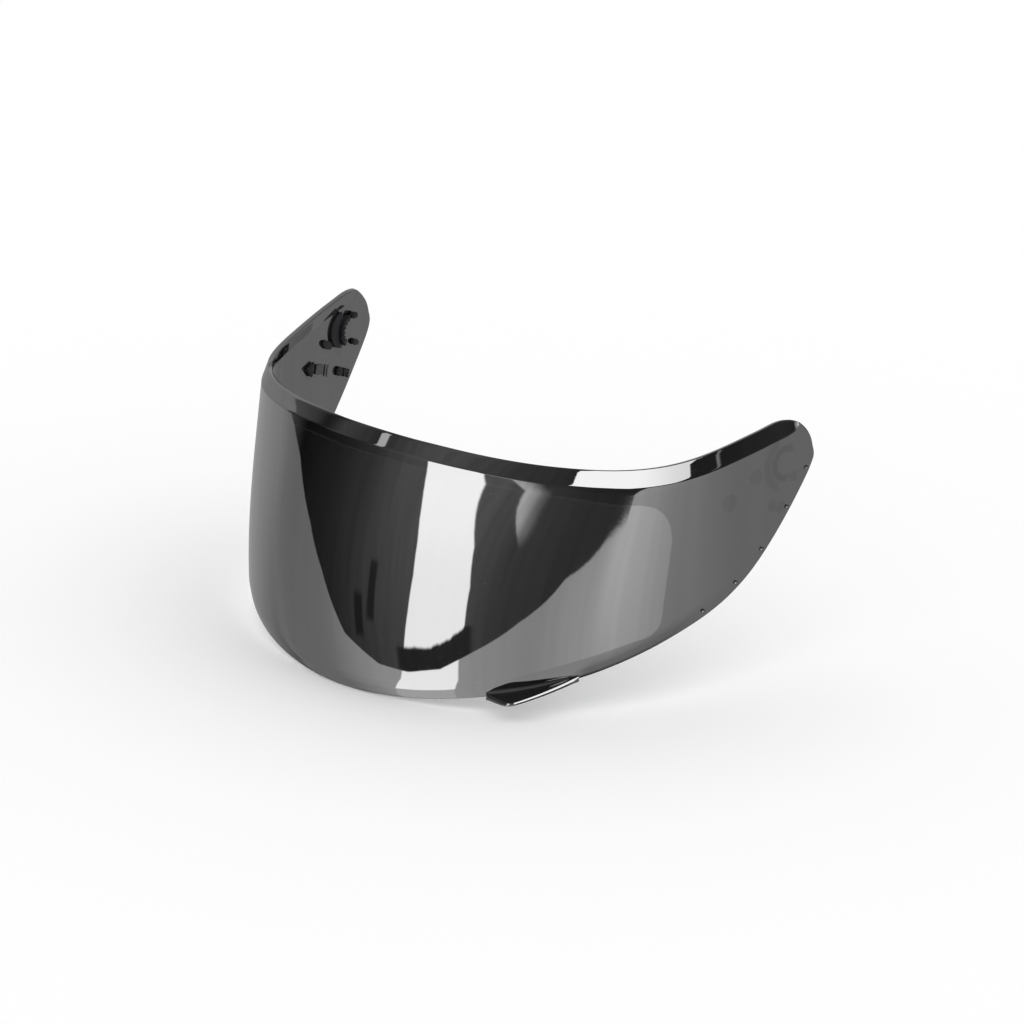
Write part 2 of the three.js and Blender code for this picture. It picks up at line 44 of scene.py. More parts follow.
CAMERA_TURNS = (40.048, 21.505, 0.699)
azimuth, tilt, roll = (math.radians(turn) for turn in CAMERA_TURNS)
camera = bpy.data.objects.new("camera", bpy.data.cameras.new("camera"))
camera.matrix_world = (
    Matrix.Translation(CAMERA_PLACE)
    @ Matrix.Rotation(azimuth, 4, "Z")
    @ Matrix.Rotation(math.pi / 2 - tilt, 4, "X")
    @ Matrix.Rotation(roll, 4, "Z")
)
camera.data.lens = 218.922
camera.data.sensor_width = 36
camera.data.clip_end = 100
bpy.context.scene.collection.objects.link(camera)
bpy.context.scene.camera = camera
bpy.context.scene.view_settings.view_transform = "Standard"


# The sheet: 2.2 mm of smoke-tinted polycarbonate, moulded in one, with a hard polished coat. It
# wraps round the front and straightens along the arms, its front bows in height, the top is folded
# inwards as a lip and the bottom edge is bevelled. Lengths here are millimetres.
SHEET = 2.2
FRONT_RADIUS, ARM_RADIUS = 112.5, 455
BEND_START, BEND_END = 100, 200
BOW_RADIUS, BELLY = 175, 23.5
BOW_START, BOW_END = 23, 166
REACH, FRONT_HEIGHT = 220, 101
OUTLINE = [
    (0, 1.076), (0.143, 1.067), (0.294, 1.046), (0.429, 1.026), (0.6, 1.002), (0.716, 1.009),
    (0.854, 1.049), (0.92, 1.066), (0.963, 1.034), (0.995, 0.936), (0.984, 0.8), (0.832, 0.44),
    (0.644, 0.2535), (0.344, 0.082), (0, 0),
]
LIP, LIP_END, LIP_SETBACK, LIP_ROUND, LIP_LEAN, FOLD = 7.7, 0.5, 9.5, 12, math.radians(16), 3.5
BEVEL_HEIGHT, BEVEL_DEPTH = 5, 0.8
BEVEL_SHARE = 0.2
BEVEL_FADE_START, BEVEL_FADE_END, BEVEL_FADE = 60, 150, 0.6
RIM = 0.4
END_DRAW, END_DRAW_START = 0.35, 170


def smooth(low, high, value):
    share = np.clip((value - low) / (high - low), 0, 1)
    return share * share * (3 - 2 * share)


def smoother(low, high, value):
    share = np.clip((value - low) / (high - low), 0, 1)
    return share ** 3 * (share * (share * 6 - 15) + 10)


def spline(points, samples=24):
    """A smooth line through points; the first and last only steer its ends."""
    line = []
    for before, start, end, after in zip(points, points[1:], points[2:], points[3:]):
        before, start, end, after = map(np.array, (before, start, end, after))
        for share in np.linspace(0, 1, samples, endpoint=False):
            leave, arrive = (end - before) / 2, (after - start) / 2
            line.append(
                (2 * start - 2 * end + leave + arrive) * share ** 3
                + (3 * end - 3 * start - 2 * leave - arrive) * share ** 2
                + leave * share
                + start
            )
    return np.array(line + [np.array(points[-2], float)])


half = [(along * REACH, up * FRONT_HEIGHT) for along, up in OUTLINE]
outline = spline([(-half[1][0], half[1][1]), *half, (-half[-2][0], half[-2][1])])
tip = int(outline[:, 0].argmax())
ARM_END, TIP_HEIGHT = outline[tip]
PLAN_SAMPLES = 600
PLAN_MARGIN = 1.05
PLAN_STEP = REACH * PLAN_MARGIN / PLAN_SAMPLES
steps = (np.arange(PLAN_SAMPLES) + 0.5) * PLAN_STEP
straight = smooth(BEND_START, BEND_END, steps)
turns = ((1 - straight) / FRONT_RADIUS + straight / ARM_RADIUS) * PLAN_STEP
plan_heading = np.concatenate([[0], np.cumsum(turns)])
plan_middle = plan_heading[:-1] + turns / 2
plan_x = np.concatenate([[0], np.cumsum(np.cos(plan_middle) * PLAN_STEP)])
plan_y = np.concatenate([[0], np.cumsum(np.sin(plan_middle) * PLAN_STEP)])
plan_along = np.arange(PLAN_SAMPLES + 1) * PLAN_STEP
PLAN_SHIFT = (-77.327, -0.106)


def crease(s):
    return np.interp(abs(s), outline[: tip + 1, 0], outline[: tip + 1, 1]) - lip_width(s)


def bottom(s):
    return np.interp(abs(s), outline[tip:][::-1, 0], outline[tip:][::-1, 1])


def lip_width(s):
    left = ARM_END - abs(s)
    short = 1 - np.clip((left - LIP_SETBACK) / LIP_ROUND, 0, 1)
    return LIP_END * smooth(0, 1, left) + (LIP - LIP_END) * np.sqrt(1 - short ** 2)


def sheet_frame(s, z):
    """The outer face's point at a place, and the ways up the sheet and outwards, in millimetres."""
    side, s = np.sign(s), abs(s) - END_DRAW * smooth(END_DRAW_START, ARM_END, abs(s))
    heading = np.interp(s, plan_along, plan_heading)
    rise_above = z - BELLY
    slope = (1 - smoother(BOW_START, BOW_END, s)) * rise_above / BOW_RADIUS
    level = np.stack([side * np.sin(heading), -np.cos(heading)], -1)
    inset = slope * rise_above / 2
    x = side * np.interp(s, plan_along, plan_x) - level[..., 0] * inset
    y = np.interp(s, plan_along, plan_y) - level[..., 1] * inset + PLAN_SHIFT[0]
    point = np.stack([x, y, z + PLAN_SHIFT[1]], -1)
    length = np.sqrt(1 + slope ** 2)[..., None]
    outward = np.concatenate([level, slope[..., None]], -1) / length
    up = np.concatenate([-slope[..., None] * level, np.ones_like(slope)[..., None]], -1) / length
    return point, up, outward


def sheet_point(s, z, offset):
    point, _, outward = sheet_frame(s, z)
    return point + outward * np.asarray(offset)[..., None]


def lip_point(s, beyond, offset):
    """A place on the lip, a distance beyond the crease, measured over the fold."""
    point, up, outward = sheet_frame(s, crease(s))
    angle = np.minimum(beyond / FOLD, LIP_LEAN)
    flat = beyond - angle * FOLD
    above = FOLD * np.sin(angle) + flat * np.cos(angle) + offset * np.sin(angle)
    inset = FOLD * (1 - np.cos(angle)) + flat * np.sin(angle) - offset * np.cos(angle)
    return point + up * above[..., None] - outward * inset[..., None]


def to_line(s, z, line):
    """The distance of places from a line of points."""
    starts, ends = line[:-1], line[1:]
    spans = ends - starts
    places = np.stack([s, z], -1)[:, None, :]
    shares = ((places - starts) * spans).sum(-1) / np.maximum((spans ** 2).sum(-1), 1e-12)
    nearest = starts + spans * np.clip(shares, 0, 1)[..., None]
    return np.sqrt(((places - nearest) ** 2).sum(-1)).min(1)


# The recess of the anti-fog insert, 0.45 mm deep, in the inner face of the front.
RECESS_REACH, RECESS_TOP, RECESS_BOTTOM, RECESS_DEPTH = 144, 97.9, 7.8, 0.45
RECESS_TOP_LINE = [(0.237, 0.991), (0.435, 0.968), (0.706, 0.927), (0.861, 0.886)]
RECESS_BOTTOM_LINE = [(0.9, 0.2114), (0.692, 0.144), (0.492, 0.0715), (0.25, 0.018)]
UPPER_CORNER, LOWER_CORNER, LOWER_REACH = 0.7, 0.41, 0.974


def rounded(start, corner, end, samples=12):
    shares = np.linspace(0, 1, samples)[:, None]
    start, corner, end = map(np.array, (start, corner, end))
    return (1 - shares) ** 2 * start + 2 * shares * (1 - shares) * corner + shares ** 2 * end


top = [(0, RECESS_TOP)] + [(along * RECESS_REACH, up * RECESS_TOP) for along, up in RECESS_TOP_LINE]
foot = [
    (along * RECESS_REACH, RECESS_BOTTOM + up * RECESS_TOP) for along, up in RECESS_BOTTOM_LINE
] + [(0, RECESS_BOTTOM)]
low_reach = RECESS_REACH * LOWER_REACH
end_high, end_low = (RECESS_REACH, UPPER_CORNER * RECESS_TOP), (low_reach, LOWER_CORNER * RECESS_TOP)
recess_upper = np.vstack([
    spline([(-top[1][0], top[1][1]), *top, (RECESS_REACH, top[-1][1])]),
    rounded(top[-1], (RECESS_REACH, top[-1][1]), end_high),
])
recess_lower = np.vstack([
    np.linspace(end_high, end_low, 8),
    rounded(end_low, (low_reach, foot[0][1]), foot[0]),
    spline([(low_reach, foot[0][1]), *foot, (-foot[-2][0], foot[-2][1])]),
])[::-1]


def recess_gap(s, z):
    """How far a place lies inside the recess; negative outside."""
    gap = to_line(abs(s), z, np.vstack([recess_upper, recess_lower[::-1]]))
    under = z < np.interp(abs(s), *recess_upper.T)
    over = z > np.interp(abs(s), *recess_lower.T)
    return np.where((abs(s) < RECESS_REACH) & under & over, gap, -gap)


def shape_grid(form, columns, rows):
    """Adds a grid; gives its points with the column's place and the row's share of each."""
    made = bmesh.ops.create_grid(
        form, x_segments=len(columns) - 1, y_segments=len(rows) - 1, size=1
    )["verts"]
    across = np.interp([v.co.x for v in made], np.linspace(-1, 1, len(columns)), columns)
    along = np.interp([v.co.y for v in made], np.linspace(-1, 1, len(rows)), rows)
    return made, across, along


outline_s = ARM_END * (1 - np.linspace(1, 0, 160) ** 2)
sheet_rim = np.vstack([
    np.stack([outline_s, bottom(outline_s)], -1),
    np.stack([outline_s, crease(outline_s) + lip_width(outline_s)], -1)[::-1],
])


def lay(form, made, s, z, beyond, offset):
    """Puts a grid's points on the sheet, with the rim rounded, and stores the recess's gap."""
    gap = to_line(abs(s), z + beyond, sheet_rim)
    round_off = RIM - np.sqrt(np.maximum(RIM ** 2 - np.maximum(RIM - gap, 0) ** 2, 0))
    bevel = np.minimum(BEVEL_HEIGHT, (crease(s) - bottom(s)) * BEVEL_SHARE)
    slant = BEVEL_DEPTH * np.clip(1 - (z - bottom(s)) / np.maximum(bevel, 1e-6), 0, 1)
    slant *= 1 - BEVEL_FADE * smooth(BEVEL_FADE_START, BEVEL_FADE_END, abs(s))
    depth = np.where(offset > -SHEET / 2, -slant - round_off, offset + round_off)
    places = np.where((beyond > 0)[:, None], lip_point(s, beyond, depth), sheet_point(s, z, depth))
    inside, lip = form.verts.layers.float["recess_gap"], form.verts.layers.float["lip_place"]
    for vertex, place, deep, over in zip(made, places, recess_gap(s, z + beyond), beyond):
        vertex.co = place / 1000
        vertex[inside], vertex[lip] = deep, over


near_tip = ARM_END - 0.11 * np.arange(13, -1, -1) ** 2
lip_turn = ARM_END - LIP_SETBACK - np.array([0, 0.1, 0.3, 0.6, 1, 1.6, 2.4])
one_side = np.unique(np.round(np.concatenate([
    np.linspace(0, 138, 47), np.linspace(138, 144, 13), np.linspace(144, near_tip[0], 21), near_tip,
    lip_turn,
]), 5))
COLUMNS = np.concatenate([-one_side[:0:-1], one_side])
EDGE_ROWS = [0, 0.05, 0.12, 0.25, 0.4]
FOLD_ROWS = [0.25, 0.5, 0.75, 1, 1.6]


def sheet_rows(s, row):
    """The height and the lip distance of a row: 0 to 1 the bevel, 1 to 2 the face, 2 to 3 the lip."""
    low, high, lip = bottom(s), crease(s), lip_width(s)
    bevel = np.minimum(BEVEL_HEIGHT, (high - low) * BEVEL_SHARE)
    z = low + bevel * np.clip(row, 0, 1) + (high - low - bevel) * np.clip(row - 1, 0, 1)
    return z, lip * np.clip(row - 2, 0, 1)


BEVEL_SHARES = [edge / BEVEL_HEIGHT for edge in EDGE_ROWS] + [0.35, 0.7]
LIP_SHARES = [fold / LIP for fold in FOLD_ROWS] + [0.4, 0.6, 0.8]
LIP_SHARES += [1 - edge / LIP for edge in EDGE_ROWS[::-1]]
OUTER_ROWS = BEVEL_SHARES + list(np.linspace(1, 2, 25)) + [2 + share for share in LIP_SHARES]
UPPER_ROWS = list(np.linspace(1, 2, 7)) + [2 + share for share in LIP_SHARES]
LOWER_ROWS = BEVEL_SHARES + list(np.linspace(1, 2, 7))

sheet = bmesh.new()
sheet.verts.layers.float.new("recess_gap")
sheet.verts.layers.float.new("lip_place")
made, s, row = shape_grid(sheet, COLUMNS, OUTER_ROWS)
z, beyond = sheet_rows(s, row)
lay(sheet, made, s, z, beyond, np.zeros_like(s))

# The inner face is laid in two halves, above and below the recess, round the recess's floor.
recess_end = recess_upper[-1]
mid_high = np.interp(one_side, [recess_end[0], ARM_END], [recess_end[1], TIP_HEIGHT])
above_recess = np.where(one_side < recess_end[0], np.interp(one_side, *recess_upper.T), mid_high)
below_recess = np.where(one_side < recess_end[0], np.interp(one_side, *recess_lower.T), mid_high)

made, s, row = shape_grid(sheet, COLUMNS, UPPER_ROWS)
z, beyond = sheet_rows(s, np.maximum(row, 2))
start = np.interp(abs(s), one_side, above_recess)
z = np.where(row < 2, start + (crease(s) - start) * (row - 1), z)
lay(sheet, made, s, z, beyond, np.full_like(s, -SHEET))

made, s, row = shape_grid(sheet, COLUMNS, LOWER_ROWS)
z, beyond = sheet_rows(s, np.minimum(row, 1))
z = np.where(row > 1, z + (np.interp(abs(s), one_side, below_recess) - z) * (row - 1), z)
lay(sheet, made, s, z, beyond, np.full_like(s, -SHEET))

made, s, row = shape_grid(sheet, COLUMNS[abs(COLUMNS) <= recess_end[0] + 1e-6], np.linspace(0, 1, 19))
low, high = np.interp(abs(s), *recess_lower.T), np.interp(abs(s), *recess_upper.T)
lay(sheet, made, s, low + (high - low) * row, np.zeros_like(s), np.full_like(s, RECESS_DEPTH - SHEET))
bmesh.ops.remove_doubles(sheet, verts=sheet.verts, dist=2e-6)


def loops(form):
    """The open edges of a form, as closed loops, the shortest first."""
    open_edges = {edge for edge in form.edges if edge.is_boundary}
    found = []
    while open_edges:
        loop = [open_edges.pop()]
        ends = list(loop[0].verts)
        while ends:
            corner = ends.pop()
            for edge in corner.link_edges:
                if edge in open_edges:
                    open_edges.remove(edge)
                    loop.append(edge)
                    ends.append(edge.other_vert(corner))
        found.append(loop)
    return sorted(found, key=len)


floor_loop, wall_loop, inner_loop, outer_loop = loops(sheet)
bmesh.ops.bridge_loops(sheet, edges=floor_loop + wall_loop)
bmesh.ops.bridge_loops(sheet, edges=inner_loop + outer_loop)
bmesh.ops.recalc_face_normals(sheet, faces=sheet.faces)


def finish_piece(form, name, material, body, slot, *nodes, sharp=35):
    """Makes a piece's object from its form, smooth between its sharp edges."""
    mesh = bpy.data.meshes.new(name)
    for face in form.faces:
        face.smooth = True
    form.to_mesh(mesh)
    form.free()
    mesh.set_sharp_from_angle(angle=math.radians(sharp))
    mesh.materials.clear()
    mesh.materials.append(material)
    piece = bpy.data.objects.new(name, mesh)
    bpy.context.scene.collection.objects.link(piece)
    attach(piece, body)
    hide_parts(*nodes)


# Shader maths reads as plain expressions: a Value is one output of a node, and a Shader makes the
# nodes of one material or of the world.
class Value:
    def __init__(self, shader, socket):
        self.shader = shader
        self.socket = socket

    def math(self, operation, *others):
        return self.shader.math(operation, self, *others)

    def __add__(self, other):
        return self.math("ADD", other)

    def __sub__(self, other):
        return self.math("SUBTRACT", other)

    def __mul__(self, other):
        return self.math("MULTIPLY", other)

    def __rsub__(self, other):
        return self.shader.math("SUBTRACT", other, self)

    def __neg__(self):
        return self * -1

    __radd__ = __add__
    __rmul__ = __mul__

    def above(self, edge, soft):
        """0 below an edge and 1 above it, with a soft step."""
        ends = {"From Min": edge - soft / 2, "From Max": edge + soft / 2}
        settings = {"interpolation_type": "SMOOTHSTEP"}
        return self.shader.node("MapRange", settings, {"Value": self, **ends})

    def between(self, low, high, soft):
        return self.above(low, soft) * (1 - self.above(high, soft))

    def curve(self, points):
        """A number that follows the value through (value, number) points."""
        low, high = points[0][0], points[-1][0]
        numbers = [number for _, number in points]
        base, span = min(numbers), max(numbers) - min(numbers)
        stops = [((at - low) / (high - low), (number - base) / span) for at, number in points]
        share = (self - low) * (1 / (high - low))
        return self.shader.node("ValToRGB", {"stops": stops}, {0: share}) * span + base


class Shader:
    def __init__(self, owner):
        owner.use_nodes = True
        self.tree = owner.node_tree
        self.tree.nodes.clear()

    def node(self, kind, settings=None, sockets=None, output=0):
        """Adds a node: first its settings, then the values or links of its sockets."""
        made = self.tree.nodes.new("ShaderNode" + kind)
        for name, setting in (settings or {}).items():
            if name == "stops":
                ramp = made.color_ramp.elements
                while len(ramp) < len(setting):
                    ramp.new(1)
                for stop, (place, grey) in zip(ramp, setting):
                    stop.position = place
                    stop.color = (grey, grey, grey, 1)
            else:
                setattr(made, name, setting)
        for name, value in (sockets or {}).items():
            if isinstance(value, Value):
                self.tree.links.new(value.socket, made.inputs[name])
            else:
                made.inputs[name].default_value = value
        if made.outputs:
            return Value(self, made.outputs[output])

    def math(self, operation, *values):
        return self.node("Math", {"operation": operation}, dict(enumerate(values)))

    def split(self, vector):
        """The three numbers of a vector."""
        parts = self.node("SeparateXYZ", sockets={0: vector})
        return [Value(self, output) for output in parts.socket.node.outputs]

    def mix(self, factor, first, second):
        """A colour between two colours."""
        return self.node("Mix", {"data_type": "RGBA"}, {0: factor, 6: first, 7: second}, output=2)

    def noise(self, scale, detail=3, roughness=0.5):
        """A cloudy number from 0 to 1; the scale counts its clouds in a metre."""
        place = self.node("TexCoord", output="Object")
        sockets = {"Vector": place, "Scale": scale, "Detail": detail, "Roughness": roughness}
        return self.node("TexNoise", sockets=sockets)

    def bump(self, height, strength, distance):
        return self.node("Bump", sockets={"Strength": strength, "Distance": distance, "Height": height})

    def surface(self, **sockets):
        """The Principled surface of the material, from its sockets' values and links."""
        named = {name.replace("_", " "): value for name, value in sockets.items()}
        self.node("OutputMaterial", sockets={"Surface": self.node("BsdfPrincipled", sockets=named)})


# The sheet's finish: dark smoke tint under a hard coat that mirrors. The sheet is opaque, and the
# light that would come through it is painted into its colour: a painted brighter patch over the
# insert's recess with a painted light line round it, painted see-through light on the arms, and
# painted faint dark shapes of the arms' fittings there. The polish has a little haze, dust and
# orange peel.
SMOKE_IOR = 2.6
# The painted see-through light that lightens the arms' colour.
ARM_SEE_THROUGH_LIGHT = 0.022
PIVOT = (0.0605, 0.0892)
# Centres and radii of the fittings' painted dark shapes on the arms, in metres.
PAINTED_SHOW_THROUGH = [
    ((0.0304, 0.0791), 0.0038), ((0.0440, 0.0871), 0.0034), ((0.0533, 0.0723), 0.0024),
    ((0.0583, 0.0704), 0.0026), ((0.0630, 0.0952), 0.0020), ((0.0650, 0.0823), 0.0022),
]
smoke = bpy.data.materials.new("smoke_polycarbonate")
tint = Shader(smoke)
gap = tint.node("Attribute", {"attribute_name": "recess_gap"}, output="Fac")
# The recess and a thin line round its edge: masks for painted light and for the coat.
in_recess = gap.above(0, 0.6)
recess_light_line = gap.between(-0.3, 0.25, 0.3)
sideways, ahead, height = tint.split(tint.node("TexCoord", output="Object"))


def from_place(place):
    """The distance from a place on the arms, in metres."""
    across, up = ahead - place[0], height - place[1]
    return (across * across + up * up).math("SQRT")


from_pivot = from_place(PIVOT)
# Painted shade: dark shapes of the rack, the guide and the other fittings, as if seen through the arms.
rack_painted_shade = from_pivot.between(0.0050, 0.0077, 0.0007) * (1 - ahead.above(0.0625, 0.004))
guide_painted_shade = from_pivot.between(0.0084, 0.0122, 0.0007) * (1 - ahead.above(0.0565, 0.001))
fittings_painted_shade = rack_painted_shade + guide_painted_shade * 0.6
for place, radius in PAINTED_SHOW_THROUGH:
    fittings_painted_shade = fittings_painted_shade + (1 - from_place(place).above(radius, 0.0008)) * 0.7
on_lip = tint.node("Attribute", {"attribute_name": "lip_place"}, output="Fac").above(0.2, 0.3)
# Painted see-through light on the arms, less where the fittings' painted dark shapes are, and kept off
# one side's lip.
clear = ahead.above(0.010, 0.03) * (1 - fittings_painted_shade.math("MINIMUM", 1))
clear = clear * (1 - on_lip * sideways.above(0, 0.05))
front = (1 - sideways.above(0.082, 0.04)) * (1 - ahead.above(-0.002, 0.03)) * (1 - on_lip)
flow = tint.noise(18, 4)
dust = tint.noise(2600, 1).above(0.775, 0.02)
smear = tint.noise(55, 6, 0.65)
# Painted light: the colour is brighter in the recess, along a line round it and on the arms; flow, dust
# and the base tone are the tint's own.
shade = in_recess * 0.0009 + recess_light_line * 0.012 + clear * ARM_SEE_THROUGH_LIGHT
shade = shade + flow * 0.001 + dust * 0.012 + 0.0007
lip_tip = on_lip * ahead.above(0.0655, 0.002)
tint.surface(
    **{"Base Color": tint.node("CombineColor", sockets={0: shade, 1: shade, 2: shade * 1.05})},
    Roughness=smear * 0.03 + dust * 0.25 + lip_tip * 0.4 + 0.012,
    IOR=SMOKE_IOR,
    Coat_Weight=in_recess.math("MAXIMUM", front) * 0.9,
    Coat_IOR=2.0,
    Coat_Roughness=0.02,
    Normal=tint.bump(tint.noise(260, 2), 0.012, 0.0002),
)
finish_piece(sheet, "visor_sheet", smoke, "visor", "smoke_polycarbonate", "visor_shell")


# The lift tab: a thin blade moulded out of the bottom edge on the wearer's left, flat on top, thin at
# its round-cornered edge and with a small fillet where it leaves the sheet.
TAB_START, TAB_CORNER, TAB_END, TAB_REACH, TAB_ROUND = 66.5, 75.7, 104, 9.6, 3.6
TAB_DROP, TAB_ROOT, TAB_TIP, TAB_FILLET = 1, 3, 1.5, 0.9
TAB_COLUMNS, TAB_ROWS = 61, 25
TAB_SINK = 0.6
RUN_SHARE, TURN_SHARE = 0.35, 0.2
BACK_SHARE = 1 - RUN_SHARE - TURN_SHARE
corner = np.array([TAB_CORNER, TAB_REACH])
cuts = []
for end in ((TAB_START, TAB_SINK), (TAB_END, TAB_SINK)):
    away = np.array(end) - corner
    cuts.append(corner + away / np.linalg.norm(away) * TAB_ROUND)
tab_curve = rounded(cuts[0], corner, cuts[1])
tab_edge = np.vstack([(TAB_START, TAB_SINK), tab_curve, (TAB_END, TAB_SINK)])
tab = bmesh.new()
along_tab = np.linspace(TAB_START, TAB_END, TAB_COLUMNS)
made, s, around = shape_grid(tab, along_tab, np.linspace(0, 1, TAB_ROWS))
reach = np.interp(s, *tab_edge.T)
blunt = (TAB_ROOT + (TAB_TIP - TAB_ROOT) * reach / TAB_REACH) / 2
run = np.clip(around / RUN_SHARE, 0, 1)
turn = np.pi * np.clip((around - RUN_SHARE) / TURN_SHARE, 0, 1)
back = np.clip((around - RUN_SHARE - TURN_SHARE) / BACK_SHARE, 0, 1)
rounding = np.minimum(blunt, reach)
out = -TAB_SINK + (reach - rounding + TAB_SINK) * run + rounding * np.sin(turn)
out -= (reach - rounding + TAB_SINK) * back
rise = blunt * (1 - np.cos(turn)) + (TAB_ROOT - 2 * blunt) * back ** 2
rise += TAB_FILLET * np.clip(1 - (out + TAB_SINK) / (2 * TAB_FILLET), 0, 1) ** 2 * back
places = sheet_point(s, bottom(s) - TAB_DROP + rise, out)
for vertex, place in zip(made, places):
    vertex.co = place / 1000
bmesh.ops.remove_doubles(tab, verts=tab.verts, dist=1e-6)
bmesh.ops.holes_fill(tab, edges=[edge for edge in tab.edges if edge.is_boundary], sides=0)
bmesh.ops.recalc_face_normals(tab, faces=tab.faces)

smoke_trim = bpy.data.materials.new("smoke_trim")
trim = Shader(smoke_trim)
wear = trim.noise(420, 4, 0.6)
rub = trim.noise(1900, 2).above(0.66, 0.06)
shade = 0.004 + wear * 0.004 + rub * 0.01
trim.surface(
    **{"Base Color": trim.node("CombineColor", sockets={0: shade, 1: shade, 2: shade * 1.05})},
    Roughness=wear * 0.05 + rub * 0.12 + 0.03,
    IOR=SMOKE_IOR,
    Normal=trim.bump(trim.noise(700, 2), 0.03, 0.0001),
)
finish_piece(tab, "lift_tab_blade", smoke_trim, "visor", "smoke_polycarbonate", "lift_tab")


# The anti-fog insert: a clear film panel, 1.1 mm thick, with cut and softly broken edges, bent into
# the recess. It is see-through with a slight milky haze and fine wiping marks.
def softened(node, width, segments, merge_flat):
    """A node's own shape, merged, with its sharp edges rounded."""
    form = bmesh.new()
    form.from_mesh(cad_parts[node].data)
    bmesh.ops.remove_doubles(form, verts=form.verts, dist=1e-6)
    if merge_flat:
        limit = math.radians(1)
        bmesh.ops.dissolve_limit(form, angle_limit=limit, verts=form.verts, edges=form.edges)
    sharp = [edge for edge in form.edges if edge.calc_face_angle(0) > math.radians(32)]
    bmesh.ops.bevel(
        form, geom=sharp, offset=width, offset_type="OFFSET", affect="EDGES", segments=segments,
        profile=0.5, material=-1, clamp_overlap=True,
    )
    return form


clear_film = bpy.data.materials.new("clear_insert")
film = Shader(clear_film)
haze = film.noise(70, 5, 0.6)
wiped = film.noise(900, 2).above(0.62, 0.08)
film.surface(
    **{"Base Color": film.mix(haze, (0.60, 0.63, 0.66, 1), (0.78, 0.80, 0.82, 1))},
    Roughness=haze * 0.08 + wiped * 0.05 + 0.03,
    Alpha=haze * 0.1 + wiped * 0.04 + 0.22,
    IOR=1.49,
)
finish_piece(
    softened("antifog_insert", 0.00022, 2, False), "insert_panel", clear_film, "visor", "clear_insert",
    "antifog_insert",
)


# The insert's bead: a soft silicone rope laid on the panel, which seals it against the recess. It is
# cloudy, dull and picks up lint.
silicone = bpy.data.materials.new("silicone_bead")
bead = Shader(silicone)
cloud = bead.noise(500, 4)
lint = bead.noise(5200, 1).above(0.72, 0.04)
bead.surface(
    **{"Base Color": bead.mix(cloud + lint * 0.5, (0.42, 0.44, 0.46, 1), (0.62, 0.64, 0.67, 1))},
    Roughness=cloud * 0.2 + 0.5,
    Normal=bead.bump(bead.noise(3000, 2), 0.2, 0.0001),
)
finish_piece(
    softened("insert_seal", 0.00038, 3, False), "seal_bead", silicone, "visor", "silicone_bead",
    "insert_seal",
)


# The dark fittings of both arms: the toothed rack that runs on the helmet's pivot gear, the catch
# over it, the front lug and the rear hook. Moulded in black plastic with a fine spark-eroded grain,
# polished where they rub, with painted glints lightening those spots.
def moulded(name, colour, worn_and_glint_colour, gloss, mirror):
    """A moulded plastic: grained, with polished spots lit by painted glints and a slow change of shade.
    """
    material = bpy.data.materials.new(name)
    plastic = Shader(material)
    grain = plastic.noise(5200, 2, 0.6)
    rubbed_glints = plastic.noise(1900, 3, 0.6).above(0.6, 0.05)
    cast = plastic.noise(160, 3)
    plastic.surface(
        # Rubbed spots: lower roughness for the polish, and a lighter colour that is a painted glint.
        **{"Base Color": plastic.mix(rubbed_glints * 0.6 + cast * 0.25, colour, worn_and_glint_colour)},
        Roughness=gloss + grain * 0.18 - rubbed_glints * 0.14,
        Specular_IOR_Level=mirror,
        Normal=plastic.bump(grain, 0.25, 0.00008),
    )
    return material


black_plastic = moulded("black_plastic", (0.004, 0.004, 0.005, 1), (0.1, 0.1, 0.105, 1), 0.3, 0.05)
for side in ("left", "right"):
    for node, width in (("toothed_rack", 0.0003), ("upper_catch", 0.0007), ("front_lug", 0.0004),
                        ("rear_hook", 0.0004)):
        name = f"{node}_{side}"
        finish_piece(
            softened(name, width, 3, True), f"{name}_moulding", black_plastic, "visor",
            "black_plastic", name,
        )


# The grey fittings of both arms: the crescent guide ahead of the rack, the oval stop pad, the lower
# lug, the wear pad, the arc rib and the hook's boss. Thin moulded pads with rounded rims.
grey_plastic = moulded("grey_plastic", (0.02, 0.02, 0.022, 1), (0.045, 0.045, 0.048, 1), 0.34, 0.08)
pale_plastic = moulded("pale_plastic", (0.07, 0.07, 0.073, 1), (0.09, 0.09, 0.094, 1), 0.34, 0.1)
for side in ("left", "right"):
    for node, width, plastic in (
        ("guide_pad", 0.00035, grey_plastic), ("lower_lug", 0.0005, grey_plastic),
        ("stop_pad", 0.0004, grey_plastic), ("wear_pad", 0.00018, pale_plastic),
        ("arc_rib", 0.0003, pale_plastic), ("hook_boss", 0.0004, grey_plastic),
    ):
        name = f"{node}_{side}"
        finish_piece(
            softened(name, width, 3, True), f"{name}_moulding", plastic, "visor",
            "grey_plastic", name,
        )


# The insert's eccentric pins and their seats: small turned-looking mouldings with a coin slot, which
# pull the insert's bead against the sheet when they are turned.
pin_plastic = moulded("pin_plastic", (0.008, 0.008, 0.009, 1), (0.04, 0.04, 0.043, 1), 0.24, 0.4)
for side in ("left", "right"):
    finish_piece(
        softened(f"pin_seat_{side}", 0.00015, 2, True), f"pin_seat_{side}_moulding", pin_plastic,
        "visor", "black_plastic", f"pin_seat_{side}",
    )
    finish_piece(
        softened(f"insert_pin_{side}", 0.00018, 2, True), f"insert_pin_{side}_moulding", pin_plastic,
        f"insert_pin_{side}", "black_plastic", f"insert_pin_{side}",
    )


# The pips along the rear edge of both arms: low round studs of the sheet's own plastic, left by the
# mould, with rounded tops.
for side in ("left", "right"):
    for place in range(1, 6):
        name = f"edge_pip_{side}_{place}"
        finish_piece(
            softened(name, 0.00016, 3, True), f"{name}_stud", smoke_trim, "visor",
            "smoke_polycarbonate", name,
        )


